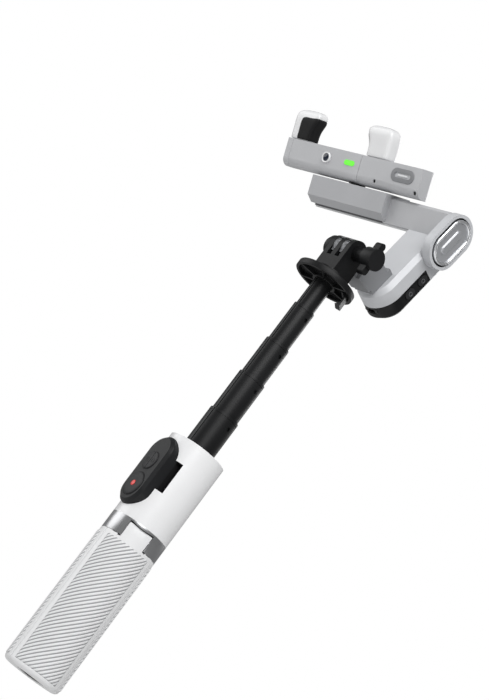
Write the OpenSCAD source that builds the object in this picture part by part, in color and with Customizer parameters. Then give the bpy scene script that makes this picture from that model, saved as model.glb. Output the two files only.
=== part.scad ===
// Hand-held gimbal stabilizer: grip with fold-out legs, telescopic pole, tilting base unit and phone holder.
// +Z runs up the pole, +X along the clamp bolt, -Y is the front. The origin is the centre of the grip's lower end.

/* [Handle] */
// Outer diameter of the grip and the handle
handle_d = 33; // [31:0.5:42]
// Length of the folded legs
grip_len = 81.5; // [68:0.5:110]
// Height of the metal collar above the legs
collar_h = 10; // [9.5:0.5:13]
// Height of the white handle body above the collar
body_h = 50; // [50:0.5:80]
// Wall of the handle body
body_wall = 2.2; // [1.6:0.1:2.6]
// Wall of one leg
leg_wall = 3.2; // [2.4:0.1:3.4]
// Length of the inner sleeve below the collar
sleeve_drop = 31.5; // [20:0.5:40]
// Radial wall of the inner sleeve
sleeve_wall = 1.4; // [1:0.1:1.4]
// How far a leg folds out, degrees
leg_swing = 60; // [30:5:60]

/* [Pole] */
// Outer diameter of the widest tube
tube_d = 17.4; // [15:0.2:17.4]
// Wall of each tube
tube_wall = 0.72; // [0.6:0.02:0.78]
// Visible length of tube 1
show_1 = 23.9; // [10:0.1:40]
// Visible length of tube 2
show_2 = 24.8; // [10:0.2:40]
// Visible length of tube 3
show_3 = 23.1; // [10:0.2:40]
// Visible length of tube 4
show_4 = 24.5; // [10:0.2:40]
// Visible length of tube 5
show_5 = 17.7; // [10:0.2:40]
// Length of tube kept inside the one below
tube_tail = 76; // [60:1:90]

/* [Pole head] */
// Diameter of the disc under the prongs
disc_d = 35.4; // [28:0.2:44]
// Thickness of the disc
disc_t = 3.4; // [2.5:0.1:5]
// Height of the clamp bolt above the disc's lower face
bolt_rise = 22.4; // [19:0.2:30]
// Thickness of one prong
prong_t = 3; // [2.4:0.1:3.2]
// Gap between two prongs
prong_gap = 3.1; // [2.8:0.1:3.6]
// Outer radius of a prong's round end
prong_r = 7.4; // [6:0.1:9]
// Diameter of the clamp bolt
bolt_d = 5; // [4:0.5:6]
// Diameter of the thumb knob
knob_d = 12; // [9:0.5:14]

/* [Remote] */
// Width of the remote
remote_w = 20; // [18:0.5:21]
// Length of the remote
remote_len = 41.5; // [38:0.5:43]
// Thickness of the remote
remote_t = 7.4; // [6:0.1:7.6]
// How far the remote stands proud of the handle
remote_proud = 2.4; // [1:0.1:3]
// Turn of the remote round the handle, degrees
remote_turn = -12; // [-40:1:40]
// Radius of the shutter button
shutter_r = 7; // [4:0.1:7.4]
// Radius of the split button
split_r = 5.3; // [3:0.1:5.6]
// Travel of the buttons
button_travel = 0.8; // [0.4:0.1:1]

/* [Base unit] */
// Width of the base unit
base_w = 25; // [22:0.5:30]
// Thickness of the pale upper shell's side
top_side = 7.7; // [6:0.1:10]
// Thickness of the black lower shell
low_side = 10.2; // [8:0.1:13]
// Depth of the chamfer round the upper face
base_chamfer = 2.6; // [1:0.1:3.5]
// Wall of the base shells
base_wall = 1.8; // [1.2:0.1:2.2]
// Distance from the tilt axis to the centre of the lower round end
base_reach = 48; // [40:0.5:60]
// Lean of the base unit behind the pole, degrees
base_lean = 9.5; // [0:0.5:15]
// Radius of the oval motor pod
pod_r = 11.6; // [10:0.1:13]
// Distance between the centres of the pod's round ends
pod_gap = 12.2; // [8:0.1:16]
// Thickness of the pod
pod_t = 5.6; // [5:0.1:9]
// Distance of the tilt axis behind the pole axis
tilt_back = 42; // [38:0.5:50]
// Height of the tilt axis above the clamp bolt
tilt_rise = 51; // [47:0.5:60]

/* [Arm and block] */
// Lean of the holder towards the front, degrees
head_lean = 28; // [10:1:35]
// Height of the arm
arm_h = 16.5; // [12:0.5:18]
// Thickness of the arm
arm_t = 12; // [10:0.5:14]
// Distance of the pan axis from the middle of the base unit
pan_reach = 63.5; // [60:0.5:75]
// Width of the motor block
block_w = 62; // [50:0.5:62]
// How far the block stands in front of the arm
block_proud = 5; // [3:0.5:7]

/* [Phone holder] */
// Distance of the holder's left end from the pan axis
bar_reach = 60; // [55:0.5:62]
// Length of the closed holder
bar_len = 113.5; // [105:0.5:125]
// Height of the holder bar
bar_h = 16.8; // [14:0.2:20]
// Depth of the holder bar
bar_depth = 10.5; // [10:0.5:20]
// Length of the sliding carriage
carriage_len = 49.5; // [44:0.5:58]
// How far the carriage slides out
jaw_travel = 30; // [20:1:30]
// Height of a jaw above the bar
jaw_h = 18.6; // [15:0.2:24]
// Width of a jaw at its foot
jaw_w = 16.6; // [12:0.2:18]
// Depth of a jaw
jaw_depth = 10; // [8:0.5:12]
// How far a jaw's top overhangs the mouth
jaw_hook = 3.4; // [2:0.1:5]
// Thickness of the jaw pads
pad_t = 1.6; // [1:0.1:2]
// Diameter of the guide rods
rod_d = 3; // [2.5:0.1:3.5]

/* [Fits] */
// Radial running clearance of pins, shafts and tubes
fit = 0.08; // [0.05:0.01:0.1]
// Gap between parts that move past each other
gap = 0.3; // [0.25:0.05:0.4]

/* [Hidden] */

big = 300;
fine = 96;
handle_r = handle_d / 2;
collar_z = grip_len;
body_z = collar_z + collar_h;
body_top = body_z + body_h;

// Telescopic tubes: each is smaller than the last by its wall and the running clearance
step = 2 * (tube_wall + fit);
shows = [show_1, show_2, show_3, show_4, show_5];
function tube_r(k) = (tube_d - step * (k - 1)) / 2;
function tube_top(k) = k == 0 ? body_top : tube_top(k - 1) + shows[k - 1];
function tube_foot(k) = tube_top(k - 1) - tube_tail;
groove_w = 1.3;
groove_depth = 0.35;
lip_h = 1.6;
lip_cut = 0.2;
hole_r = 1.15;
hole_drop = 6;

sleeve_bore = tube_d / 2 + fit;
sleeve_r = sleeve_bore + sleeve_wall;
sleeve_z = collar_z - sleeve_drop;
body_roof = 3;

// Legs and their hinges
leg_turns = [52, 172, -68];
leg_span = 120;
leg_gap = 0.3;
hinge_r = handle_r - 4;
hinge_z = collar_z + 5;
hinge_pin_r = 1;
hinge_barrel_r = 1.9;
hinge_half = 8.6;
tab_half = 6.8;
tab_t = 2.4;
tab_rise = 3.2;
tab_round = 4.1;
foot_h = 3;
foot_round = 2.4;
pad_rise = 1.2;
pad_edge = 5.2;
pad_hole_r = 3.6;

// Remote in its pocket
remote_r = remote_w / 2;
remote_foot = body_z + 5;
remote_mid = remote_foot + remote_len / 2;
remote_span = remote_len - remote_w;
remote_face = handle_r + remote_proud;
remote_back = remote_face - remote_t;
remote_clear = 0.25;
remote_wall = 1.2;
remote_edge = 1.6;
pocket_floor = 0.8;
shutter_z = remote_foot + 10.8;
split_z = remote_foot + 25.4;
button_gap = 0.3;
button_proud = 0.9;
button_depth = 2.2;
notch_len = 18;
notch_mid = remote_foot + 23;
notch_w = 3.4;
notch_back = -8.4;

// Pole head
disc_z = tube_top(5);
bolt_z = disc_z + bolt_rise;
bolt_r = bolt_d / 2;
prong_pitch = prong_t + prong_gap;
stack_half = prong_pitch + prong_t / 2;
knob_r = knob_d / 2;
knob_neck_len = 7.6;
knob_head_len = 7.4;
knob_neck_r = 4.1;
nut_len = 5.4;
foot_prong_t = prong_gap - 0.2;

// Base unit, seen from the tilt axis: y runs from its front face to its back, z along its length
tilt_y = tilt_back;
tilt_z = bolt_z + tilt_rise;
front_y = -5;
side_y = front_y + base_chamfer;
part_y = side_y + top_side;
back_y = part_y + low_side;
base_r = base_w / 2;
base_top = -9;
cap_line = -25;
lower_round = 2.8;
foot_block_w = 14;
foot_block_t = 4;
foot_block_len = 17;
foot_block_mid = -base_reach - 2.5;
button_zs = [-30, -41];
base_button_y = part_y + 3.4;

pod_x = base_r + 0.2;
pod_face = pod_x + pod_t;
well_depth = 1.6;
well_r = pod_r - 1.9;
ring_r = well_r - 1.1;
ring_w = 1.5;
ring_proud = 1.2;
dish_r = ring_r - ring_w;

// Arm and block, seen from the tilt axis in the leaning frame: -y is the front, z is up
arm_low = -5.4;
arm_x = pod_x - gap;
block_x = -pan_reach - block_w / 2;
arm_front = -arm_t / 2;
block_front = arm_front - block_proud;
block_back = 9;
block_top = arm_low + arm_h + 1.1;
block_step = 0.4;
cover_low = arm_low + 1.8;
block_wall = 2;
tilt_shaft_r = 2;
stator_r = 8;
pan_hub_r = 5;
pan_shaft_r = 1.8;
pan_motor_r = 4.4;
pan_y = block_front + 6.5;

// Holder, seen from the pan axis on top of the block
hub_gap = 1;
bar_z = block_top + hub_gap;
bar_x = -pan_reach - bar_reach;
bar_end = bar_x + bar_len;
bar_front = block_front;
bar_round = 5;
split_x = bar_end - carriage_len;
end_cap_len = 4.5;
bar_wall = 2;
rod_y = bar_front + bar_depth / 2;
rod_z = bar_z + bar_h / 2;
rod_spread = 3.8;
rod_tip = bar_end - 10;
rod_root = bar_x + end_cap_len + 5;
jaw_z = bar_z + bar_h;
jaw_back = bar_front + jaw_depth;
lens_x = -pan_reach - 24;
lamp_x = -pan_reach - 4.6;
back_round = 3.5;
mark_z = bar_z + bar_h * 0.62;

module in_base() {
  translate([0, tilt_y, tilt_z]) rotate([-base_lean, 0, 0]) children();
}

module in_head() {
  translate([0, tilt_y, tilt_z]) rotate([head_lean, 0, 0]) children();
}

module in_leg(k) {
  rotate([0, 0, leg_turns[k]]) children();
}

module in_remote() {
  rotate([0, 0, remote_turn]) children();
}

// Rod along X from x0 to x1
module x_rod(r, x0, x1, y = 0, z = 0) {
  translate([x0, y, z]) rotate([0, 90, 0]) cylinder(h = x1 - x0, r = r, $fn = fine);
}

// Rod along Y from y0 to y1
module y_rod(r, y0, y1, x = 0, z = 0) {
  translate([x, y0, z]) rotate([-90, 0, 0]) cylinder(h = y1 - y0, r = r, $fn = fine);
}

// Block between two corners
module span(low, high) {
  translate(low) cube([high[0] - low[0], high[1] - low[1], high[2] - low[2]]);
}

// Upright slot shape standing along Z, thick along Y
module upright_slot(r, len, y0, y1, z) {
  y_rod(r, y0, y1, 0, z - len / 2);
  y_rod(r, y0, y1, 0, z + len / 2);
  span([-r, y0, z - len / 2], [r, y1, z + len / 2]);
}

// Slot shape standing along Z, thick along X
module side_slot(r, len, x0, x1, y, z) {
  x_rod(r, x0, x1, y, z - len / 2);
  x_rod(r, x0, x1, y, z + len / 2);
  span([x0, y - r, z - len / 2], [x1, y + r, z + len / 2]);
}

// ---- handle ----

module inner_sleeve() {
  color([0.55, 0.56, 0.58]) difference() {
    translate([0, 0, sleeve_z]) cylinder(h = body_top - body_roof - sleeve_z, r = sleeve_r, $fn = fine);
    translate([0, 0, sleeve_z - 1]) cylinder(h = big, r = sleeve_bore, $fn = fine);
  }
}

module remote_pocket_shape(extra) {
  upright_slot(remote_r + extra, remote_span, -big, -remote_back + extra, remote_mid);
}

module handle_body() {
  color([0.95, 0.95, 0.95]) difference() {
    union() {
      difference() {
        translate([0, 0, body_z]) cylinder(h = body_h, r = handle_r, $fn = fine);
        translate([0, 0, body_z - 1]) cylinder(h = body_h + 1 - body_roof, r = handle_r - body_wall, $fn = fine);
      }
      in_remote() intersection() {
        translate([0, 0, body_z]) cylinder(h = body_h - 1, r = handle_r - body_wall / 2, $fn = fine);
        upright_slot(remote_r + 1.4, remote_span, -handle_r, -remote_back + pocket_floor, remote_mid);
      }
      in_remote() intersection() {
        translate([0, 0, body_z]) cylinder(h = body_h - 1, r = handle_r - body_wall / 2, $fn = fine);
        span([remote_r - 2, -handle_r, notch_mid - notch_len / 2 - 1.2],
          [remote_r + notch_w + 1, notch_back + 1, notch_mid + notch_len / 2 + 1.2]);
      }
    }
    in_remote() remote_pocket_shape(remote_clear);
    in_remote() span([remote_r - 1, -big, notch_mid - notch_len / 2],
      [remote_r + notch_w, notch_back, notch_mid + notch_len / 2]);
    translate([0, 0, body_z - 1]) cylinder(h = body_h + 1 - body_roof, r = sleeve_r, $fn = fine);
    translate([0, 0, body_z]) cylinder(h = big, r = sleeve_bore, $fn = fine);
  }
}

module collar() {
  color([0.6, 0.61, 0.63]) difference() {
    translate([0, 0, collar_z]) cylinder(h = collar_h, r = handle_r, $fn = fine);
    translate([0, 0, collar_z - 1]) cylinder(h = big, r = sleeve_r, $fn = fine);
    for (k = [0:2]) in_leg(k) {
      intersection() {
        span([-tab_half - gap, -handle_r - 1, collar_z - 1], [tab_half + gap, -sleeve_r + 0.5, body_z - 0.7]);
        x_rod(tab_round + gap + 1.4, -big / 2, big / 2, -hinge_r - 0.6, hinge_z - 1.4);
      }
      x_rod(hinge_pin_r, -hinge_half, hinge_half, -hinge_r, hinge_z);
    }
  }
}

module leg_pins() {
  color([0.7, 0.7, 0.72]) for (k = [0:2]) in_leg(k) x_rod(hinge_pin_r, -hinge_half, hinge_half, -hinge_r, hinge_z);
}

// Third of a ring, centred on -Y
module leg_sector(r, z0, z1) {
  half = leg_span / 2;
  inset = leg_gap / 2;
  intersection() {
    translate([0, 0, z0]) cylinder(h = z1 - z0, r = r, $fn = fine);
    rotate([0, 0, half]) translate([-big, -big, z0]) cube([big - inset, 2 * big, z1 - z0]);
    rotate([0, 0, -half]) translate([inset, -big, z0]) cube([big, 2 * big, z1 - z0]);
  }
}

// Room for the leg's upper edge to turn clear of the collar
function edge_half(s) = sqrt(max(0, handle_r * handle_r - s * s)) - hinge_r;
function edge_room(s) = norm([edge_half(s), hinge_z - collar_z]) + 0.12;

module leg(k) {
  color([0.93, 0.93, 0.93]) in_leg(k) difference() {
    union() {
      difference() {
        leg_sector(handle_r, foot_round, collar_z - 0.15);
        translate([0, 0, foot_h]) cylinder(h = big, r = handle_r - leg_wall, $fn = fine);
        for (side = [-1, 1]) for (band = [[0, 4.5], [4.5, 8.5], [8.5, 11.5], [11.5, 18]])
          x_rod(edge_room(band[0]), min(side * band[0], side * band[1]),
            max(side * band[0], side * band[1]), -hinge_r, hinge_z);
      }
      intersection() {
        leg_sector(handle_r, 0, foot_round + 0.01);
        union() {
          translate([0, 0, foot_round]) rotate_extrude($fn = fine)
            translate([handle_r - foot_round, 0]) circle(r = foot_round, $fn = 48);
          cylinder(h = foot_round + 0.01, r = handle_r - foot_round, $fn = fine);
        }
      }
      intersection() {
        translate([0, 0, collar_z - 12]) cylinder(h = 30, r = handle_r, $fn = fine);
        x_rod(tab_round, -tab_half, tab_half, -hinge_r, hinge_z);
        span([-tab_half, -handle_r, collar_z - 6], [tab_half, -handle_r + tab_t, hinge_z + tab_rise]);
      }
      x_rod(hinge_barrel_r, -tab_half, tab_half, -hinge_r, hinge_z);
      intersection() {
        translate([0, 0, collar_z - 12]) cylinder(h = 30, r = handle_r, $fn = fine);
        span([-tab_half, -handle_r, collar_z - 8], [tab_half, -hinge_r, hinge_z]);
        translate([0, 0, collar_z - 12]) difference() {
          cylinder(h = 30, r = handle_r, $fn = fine);
          translate([0, 0, -1]) cylinder(h = 40, r = handle_r - leg_wall, $fn = fine);
        }
      }
    }
    x_rod(hinge_pin_r + fit, -big / 2, big / 2, -hinge_r, hinge_z);
    foot_recess();
    translate([0, 0, -1]) cylinder(h = foot_h + 2, r = pad_hole_r, $fn = fine);
  }
}

// Curved three-cornered recess in the folded legs' lower ends
module foot_recess() {
  recess_r = handle_r * 1.25;
  translate([0, 0, -1]) intersection() {
    cylinder(h = pad_rise + 1, r = handle_r - 3.4, $fn = fine);
    translate([0, recess_r - pad_edge - 1.2, 0]) cylinder(h = pad_rise + 1, r = recess_r, $fn = fine);
    rotate([0, 0, 120]) translate([0, recess_r - pad_edge - 1.2, 0])
      cylinder(h = pad_rise + 1, r = recess_r, $fn = fine);
    rotate([0, 0, 240]) translate([0, recess_r - pad_edge - 1.2, 0])
      cylinder(h = pad_rise + 1, r = recess_r, $fn = fine);
  }
}

module foot_pad(k) {
  color([0.05, 0.05, 0.05]) in_leg(k) difference() {
    intersection() {
      foot_recess();
      leg_sector(handle_r, 0.4, pad_rise);
    }
    translate([0, 0, -1]) cylinder(h = 9, r = pad_hole_r, $fn = fine);
  }
}

// ---- remote ----

module remote_case() {
  top = -remote_face;
  color([0.12, 0.12, 0.12]) in_remote() difference() {
    union() {
      upright_slot(remote_r, remote_span, top + remote_edge, -remote_back, remote_mid);
      for (s = [-1, 1]) translate([0, top + remote_edge, remote_mid + s * remote_span / 2])
        rotate([90, 0, 0]) cylinder(h = remote_edge, r1 = remote_r, r2 = remote_r - remote_edge, $fn = fine);
      translate([0, 0, remote_mid - remote_span / 2]) linear_extrude(remote_span)
        polygon([[-remote_r, top + remote_edge], [-remote_r + remote_edge, top],
          [remote_r - remote_edge, top], [remote_r, top + remote_edge]]);
    }
    upright_slot(remote_r - remote_wall, remote_span, -remote_back - 3.6, -remote_back - remote_wall, remote_mid);
    y_rod(shutter_r + button_gap, top - 1, top + button_depth + button_travel, 0, shutter_z);
    y_rod(split_r + button_gap, top - 1, top + button_depth + button_travel, 0, split_z);
  }
}

module remote_board() {
  color([0.1, 0.3, 0.15]) in_remote()
    upright_slot(remote_r - remote_wall, remote_span - 1, -remote_back - 3.6, -remote_back - 2.8, remote_mid);
}

module remote_cell() {
  color([0.7, 0.7, 0.7]) in_remote() y_rod(6, -remote_back - 2.8, -remote_back - remote_wall, 0, remote_mid + 4);
}

module shutter_button() {
  top = -remote_face;
  color([0.2, 0.2, 0.2]) in_remote() difference() {
    y_rod(shutter_r, top - button_proud, top + button_depth, 0, shutter_z);
    y_rod(0.9, top - big, top - button_proud + 0.3, 0, shutter_z);
  }
}

module half_button(side) {
  top = -remote_face;
  color([0.16, 0.16, 0.16]) in_remote() intersection() {
    y_rod(split_r, top - 0.5, top + button_depth, 0, split_z);
    span([side < 0 ? -big : button_gap / 2, -big, split_z - 10], [side < 0 ? -button_gap / 2 : big, 0, split_z + 10]);
  }
}

// ---- pole ----

module tube(k) {
  r = tube_r(k);
  top = k == 5 ? disc_z + 1.2 : tube_top(k);
  foot = tube_foot(k);
  color([0.07, 0.07, 0.07]) difference() {
    translate([0, 0, foot]) cylinder(h = top - foot, r = r, $fn = fine);
    translate([0, 0, foot - 1]) cylinder(h = big, r = r - tube_wall, $fn = fine);
    span([-groove_w / 2, -r - 1, foot - 1], [groove_w / 2, -r + groove_depth, top + 1]);
    if (k < 5) translate([0, 0, top - lip_h]) difference() {
      translate([0, 0, -0.35]) cylinder(h = 0.35, r = r + 1, $fn = fine);
      translate([0, 0, -1]) cylinder(h = 2, r = r - lip_cut, $fn = fine);
    }
    if (k < 5) x_rod(hole_r, 0, big, 0, top - hole_drop);
  }
}

// ---- pole head ----

module mount_disc() {
  color([0.06, 0.06, 0.06]) difference() {
    translate([0, 0, disc_z]) cylinder(h = disc_t, r = disc_d / 2, $fn = fine);
    difference() {
      translate([0, 0, disc_z - 1]) cylinder(h = disc_t, r = disc_d / 2 - 1.8, $fn = fine);
      translate([0, 0, disc_z - 2]) cylinder(h = disc_t + 2, r = tube_r(5) + 1.6, $fn = fine);
      for (a = [5:60:305]) rotate([0, 0, a]) translate([tube_r(5), -0.6, disc_z - 2])
        cube([disc_d / 2 - tube_r(5), 1.2, disc_t + 2]);
    }
    translate([0, 0, disc_z - 1]) cylinder(h = big, r = tube_r(5), $fn = fine);
  }
}

module prong_mount() {
  seat = disc_z + disc_t;
  y_half = prong_r;
  color([0.05, 0.05, 0.05]) difference() {
    union() {
      translate([0, 0, seat]) cylinder(h = 3.2, r = tube_r(5) + 5, $fn = fine);
      span([-stack_half, -y_half, seat], [stack_half, y_half, bolt_z - prong_r - 0.6]);
      for (k = [-1:1]) {
        x_rod(prong_r, k * prong_pitch - prong_t / 2, k * prong_pitch + prong_t / 2, 0, bolt_z);
        span([k * prong_pitch - prong_t / 2, -y_half, seat], [k * prong_pitch + prong_t / 2, y_half, bolt_z]);
      }
    }
    x_rod(bolt_r + fit, -stack_half - 1, stack_half + 1, 0, bolt_z);
  }
}

module disc_latch() {
  color([0.06, 0.06, 0.06]) rotate([0, 0, 32]) difference() {
    span([disc_d / 2 - 6.2, -3.6, disc_z - 7], [disc_d / 2 - 2.4, 3.6, disc_z + disc_t - 1]);
    y_rod(4, -big, big, disc_d / 2 - 7.2, disc_z - 3.4);
  }
}

module bolt_nut() {
  color([0.06, 0.06, 0.06]) difference() {
    union() {
      x_rod(prong_r - 0.6, -stack_half - nut_len * 0.6, -stack_half, 0, bolt_z);
      x_rod(prong_r - 1.8, -stack_half - nut_len, -stack_half, 0, bolt_z);
    }
    x_rod(bolt_r + fit, -stack_half - nut_len + 1.2, 0, 0, bolt_z);
  }
}

module clamp_bolt() {
  color([0.5, 0.5, 0.52]) x_rod(bolt_r, -stack_half - nut_len + 1.6, stack_half + 12, 0, bolt_z);
}

module thumb_knob() {
  neck = stack_half + 0.3;
  head = neck + knob_neck_len;
  color([0.05, 0.05, 0.05]) difference() {
    union() {
      x_rod(knob_neck_r, neck, head + 0.5, 0, bolt_z);
      x_rod(knob_r, head, head + knob_head_len, 0, bolt_z);
      for (s = [-1, 1]) {
        span([head + 0.8, -2, s < 0 ? bolt_z - knob_r - 2.4 : bolt_z],
          [head + knob_head_len - 2.2, 2, s < 0 ? bolt_z : bolt_z + knob_r + 2.4]);
        x_rod(2, head + 0.8, head + knob_head_len - 2.2, 0, bolt_z + s * (knob_r + 2.4));
      }
    }
    x_rod(bolt_r, 0, stack_half + 12, 0, bolt_z);
  }
}

// Two prongs that ride on the bolt and the block that joins them to the base unit
module prong_foot() {
  pivot_y = -tilt_back;
  pivot_z = -tilt_rise;
  color([0.72, 0.73, 0.75]) difference() {
    union() {
      for (s = [-1, 1]) translate([s * prong_pitch / 2, 0, 0]) {
        x_rod(prong_r, -foot_prong_t / 2, foot_prong_t / 2, 0, bolt_z);
        translate([0, 0, bolt_z]) span([-foot_prong_t / 2, 0, -prong_r], [foot_prong_t / 2, 19, prong_r]);
      }
      in_base() span([-foot_block_w / 2, front_y - foot_block_t, foot_block_mid - foot_block_len / 2],
        [foot_block_w / 2, front_y, foot_block_mid + foot_block_len / 2]);
      translate([0, 0, bolt_z]) span([-foot_block_w / 2, prong_r + 4.6, -prong_r], [foot_block_w / 2, 24, prong_r]);
      in_base() span([-foot_block_w / 2, front_y - foot_block_t - 5.6, foot_block_mid - 5],
        [foot_block_w / 2, front_y, foot_block_mid + 6]);
    }
    x_rod(bolt_r + fit, -big / 2, big / 2, 0, bolt_z);
  }
}

// ---- base unit ----

// Slab with one round end; its radius changes evenly from r0 at y0 to r1 at y1
module slab(r0, y0, r1, y1, top) {
  translate([0, y0, -base_reach]) rotate([-90, 0, 0]) cylinder(h = y1 - y0, r1 = r0, r2 = r1, $fn = fine);
  translate([0, 0, -base_reach]) linear_extrude(base_reach + top)
    polygon([[-r0, y0], [r0, y0], [r1, y1], [-r1, y1]]);
}

module base_outside(y0, y1, top) {
  intersection() {
    union() {
      slab(base_r - base_chamfer, front_y, base_r, side_y, top);
      slab(base_r, side_y, base_r, back_y - lower_round, top);
      slab(base_r, back_y - lower_round, base_r - lower_round, back_y, top);
    }
    span([-big, y0, -big], [big, y1, big]);
  }
}

module base_inside(top) {
  w = base_wall;
  slab(base_r - base_chamfer - w, front_y + w, base_r - w, side_y + w, top - w);
  slab(base_r - w, side_y + w - 0.01, base_r - w, back_y - lower_round - w, top - w);
  slab(base_r - w, back_y - lower_round - w - 0.01, base_r - lower_round - w, back_y - w, top - w);
}

module base_top_shell() {
  color([0.8, 0.81, 0.83]) in_base() difference() {
    union() {
      base_outside(front_y, part_y, base_top);
      intersection() {
        base_outside(front_y, back_y, base_top);
        span([-big, -big, cap_line], [big, big, big]);
      }
    }
    base_inside(base_top);
  }
}

module base_lower_shell() {
  color([0.05, 0.05, 0.05]) in_base() difference() {
    intersection() {
      base_outside(part_y, back_y, base_top);
      span([-big, -big, -big], [big, big, cap_line]);
    }
    base_inside(cap_line + base_wall + 1);
    for (z = button_zs) side_slot(2.3 + button_gap, 2.6, base_r - base_wall - 1, big, base_button_y, z);
    translate([0, base_button_y - 0.6, -base_reach - base_r]) port_shape(3);
  }
}

module port_shape(depth) {
  for (s = [-1, 1]) translate([s * 3.2, 0, -1]) cylinder(h = depth + 1, r = 1.6, $fn = 32);
  translate([-3.2, -1.6, -1]) cube([6.4, 3.2, depth + 1]);
}

module charge_port() {
  color([0.45, 0.45, 0.47]) in_base() translate([0, base_button_y - 0.6, -base_reach - base_r + 0.5]) difference() {
    intersection() {
      port_shape(6);
      span([-5, -2, 0], [5, 2, 6]);
    }
    span([-2.6, -1, -2], [2.6, 1, 5]);
  }
}

module base_battery() {
  color([0.2, 0.35, 0.6]) in_base() span([-7.6, part_y + 1, -base_reach + 1], [7.6, back_y - base_wall, -base_reach + 33]);
}

module base_board() {
  color([0.1, 0.3, 0.15]) in_base()
    span([-base_r + base_wall, side_y + 3.4, -base_reach], [base_r - base_wall, side_y + 4.6, -base_reach + 32]);
}

module base_button(z) {
  color([0.09, 0.09, 0.09]) in_base() side_slot(2.3, 2.6, base_r - base_wall, base_r + 0.5, base_button_y, z);
}

module pod_slot(r, x0, x1) {
  side_slot(r, pod_gap, x0, x1, 0, -pod_gap / 2);
}

module motor_pod() {
  color([0.78, 0.79, 0.81]) in_base() difference() {
    pod_slot(pod_r, pod_x, pod_face);
    pod_slot(well_r, pod_face - well_depth, big);
    x_rod(stator_r, pod_x + 0.8, pod_face - well_depth - 0.6);
    x_rod(tilt_shaft_r + 0.6, 0, pod_face - well_depth - 0.6);
  }
  color([0.78, 0.79, 0.81]) in_base() span([base_r, -4, -pod_gap - 5], [pod_x, 5, base_top - 1.4]);
}

module pod_backing() {
  color([0.03, 0.03, 0.03]) in_base() pod_slot(well_r, pod_face - well_depth, pod_face - well_depth + 0.5);
}

module chrome_ring() {
  color([0.85, 0.86, 0.88]) in_base() difference() {
    pod_slot(ring_r, pod_face - well_depth + 0.5, pod_face + ring_proud);
    pod_slot(dish_r, pod_face - well_depth, big);
  }
}

module pod_dish() {
  color([0.66, 0.67, 0.69]) in_base() {
    pod_slot(dish_r, pod_face - well_depth + 0.5, pod_face + 0.1);
    side_slot(1.6, pod_gap - 1.4, pod_face, pod_face + 1, 0, -pod_gap / 2);
  }
}

module tilt_stator() {
  color([0.5, 0.35, 0.2]) in_base() difference() {
    x_rod(stator_r, pod_x + 0.8, pod_face - well_depth - 0.6);
    x_rod(tilt_shaft_r + fit, 0, big);
  }
}

// ---- arm and block ----

module tilt_shaft() {
  color([0.7, 0.7, 0.72]) in_head() x_rod(tilt_shaft_r, arm_x - 8, pod_face - well_depth - 0.9);
}

module arm_bar() {
  top = arm_low + arm_h;
  back = arm_t / 2;
  color([0.74, 0.74, 0.75]) in_head() difference() {
    translate([block_x + block_w - 2, 0, 0]) rotate([90, 0, 90]) linear_extrude(arm_x - block_x - block_w + 2)
      polygon([[arm_front, arm_low + 1.4], [arm_front, top - 1.4], [arm_front + 1.4, top],
        [back - 1.4, top], [back, top - 1.4], [back, arm_low + 1.4], [back - 1.4, arm_low + 0.8],
        [arm_front + 1.4, arm_low + 0.8]]);
    x_rod(tilt_shaft_r, arm_x - 8, big);
  }
}

module arm_strip() {
  color([0.85, 0.85, 0.86]) in_head()
    span([block_x + 3, arm_front + 1.4, arm_low], [arm_x - 6, arm_t / 2 - 1.4, arm_low + 0.8]);
}

// Section of the block across the arm
module block_section(inset) {
  polygon([[block_front + inset, block_step + inset / 2], [block_front + inset, block_top - inset],
    [block_back - inset, block_top - inset], [block_back - inset, cover_low + inset],
    [arm_front - 0.4 + inset, cover_low + inset]]);
}

module block_shell() {
  color([0.73, 0.73, 0.74]) in_head() difference() {
    translate([block_x, 0, 0]) rotate([90, 0, 90]) linear_extrude(block_w) block_section(0);
    translate([block_x + block_wall, 0, 0]) rotate([90, 0, 90])
      linear_extrude(block_w - 2 * block_wall) block_section(block_wall);
    translate([-pan_reach, pan_y, 0]) cylinder(h = big, r = pan_shaft_r + 0.8, $fn = fine);
    span([block_x + block_w - 2.2, arm_front, arm_low + 0.4], [big, arm_t / 2, arm_low + arm_h]);
    span([block_x - 1, -big, -big], [big, big, cover_low + 0.01]);
  }
}

module block_cover() {
  color([0.4, 0.4, 0.41]) in_head() span([block_x + 3, arm_front + 0.4, arm_low + 0.8],
    [block_x + block_w - 2.4, block_back - 1, cover_low]);
}

module pan_motor() {
  color([0.5, 0.35, 0.2]) in_head() difference() {
    translate([-pan_reach, pan_y, block_step + block_wall]) cylinder(h = block_top - block_step - 2 * block_wall,
      r = pan_motor_r, $fn = fine);
    translate([-pan_reach, pan_y, cover_low]) cylinder(h = big, r = pan_shaft_r + fit, $fn = fine);
  }
}

// ---- phone holder ----

module pan_hub() {
  color([0.1, 0.1, 0.1]) in_head() translate([-pan_reach, pan_y, 0]) {
    translate([0, 0, block_step + block_wall + 0.6]) cylinder(h = block_top - block_step - block_wall, r = pan_shaft_r,
      $fn = fine);
    translate([0, 0, block_top + gap]) cylinder(h = hub_gap - gap, r = pan_hub_r, $fn = fine);
  }
}

// Section of the bar: flat front, rounded lower front edge
module bar_section(inset) {
  r = bar_round - inset;
  x0 = bar_front + inset;
  x1 = bar_front + bar_depth - inset;
  y0 = bar_z + inset;
  y1 = bar_z + bar_h - inset;
  translate([x0 + r, y0 + r]) circle(r = r, $fn = 64);
  translate([x0 + r, y0]) square([x1 - x0 - r, y1 - y0]);
  translate([x0, y0 + r]) square([x1 - x0, y1 - y0 - r]);
}

module bar_piece(x0, x1, inset = 0) {
  translate([x0, 0, 0]) rotate([90, 0, 90]) linear_extrude(x1 - x0) bar_section(inset);
}

module rods(r, x0, x1) {
  for (s = [-1, 1]) x_rod(r, x0, x1, rod_y, rod_z + s * rod_spread);
}

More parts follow.
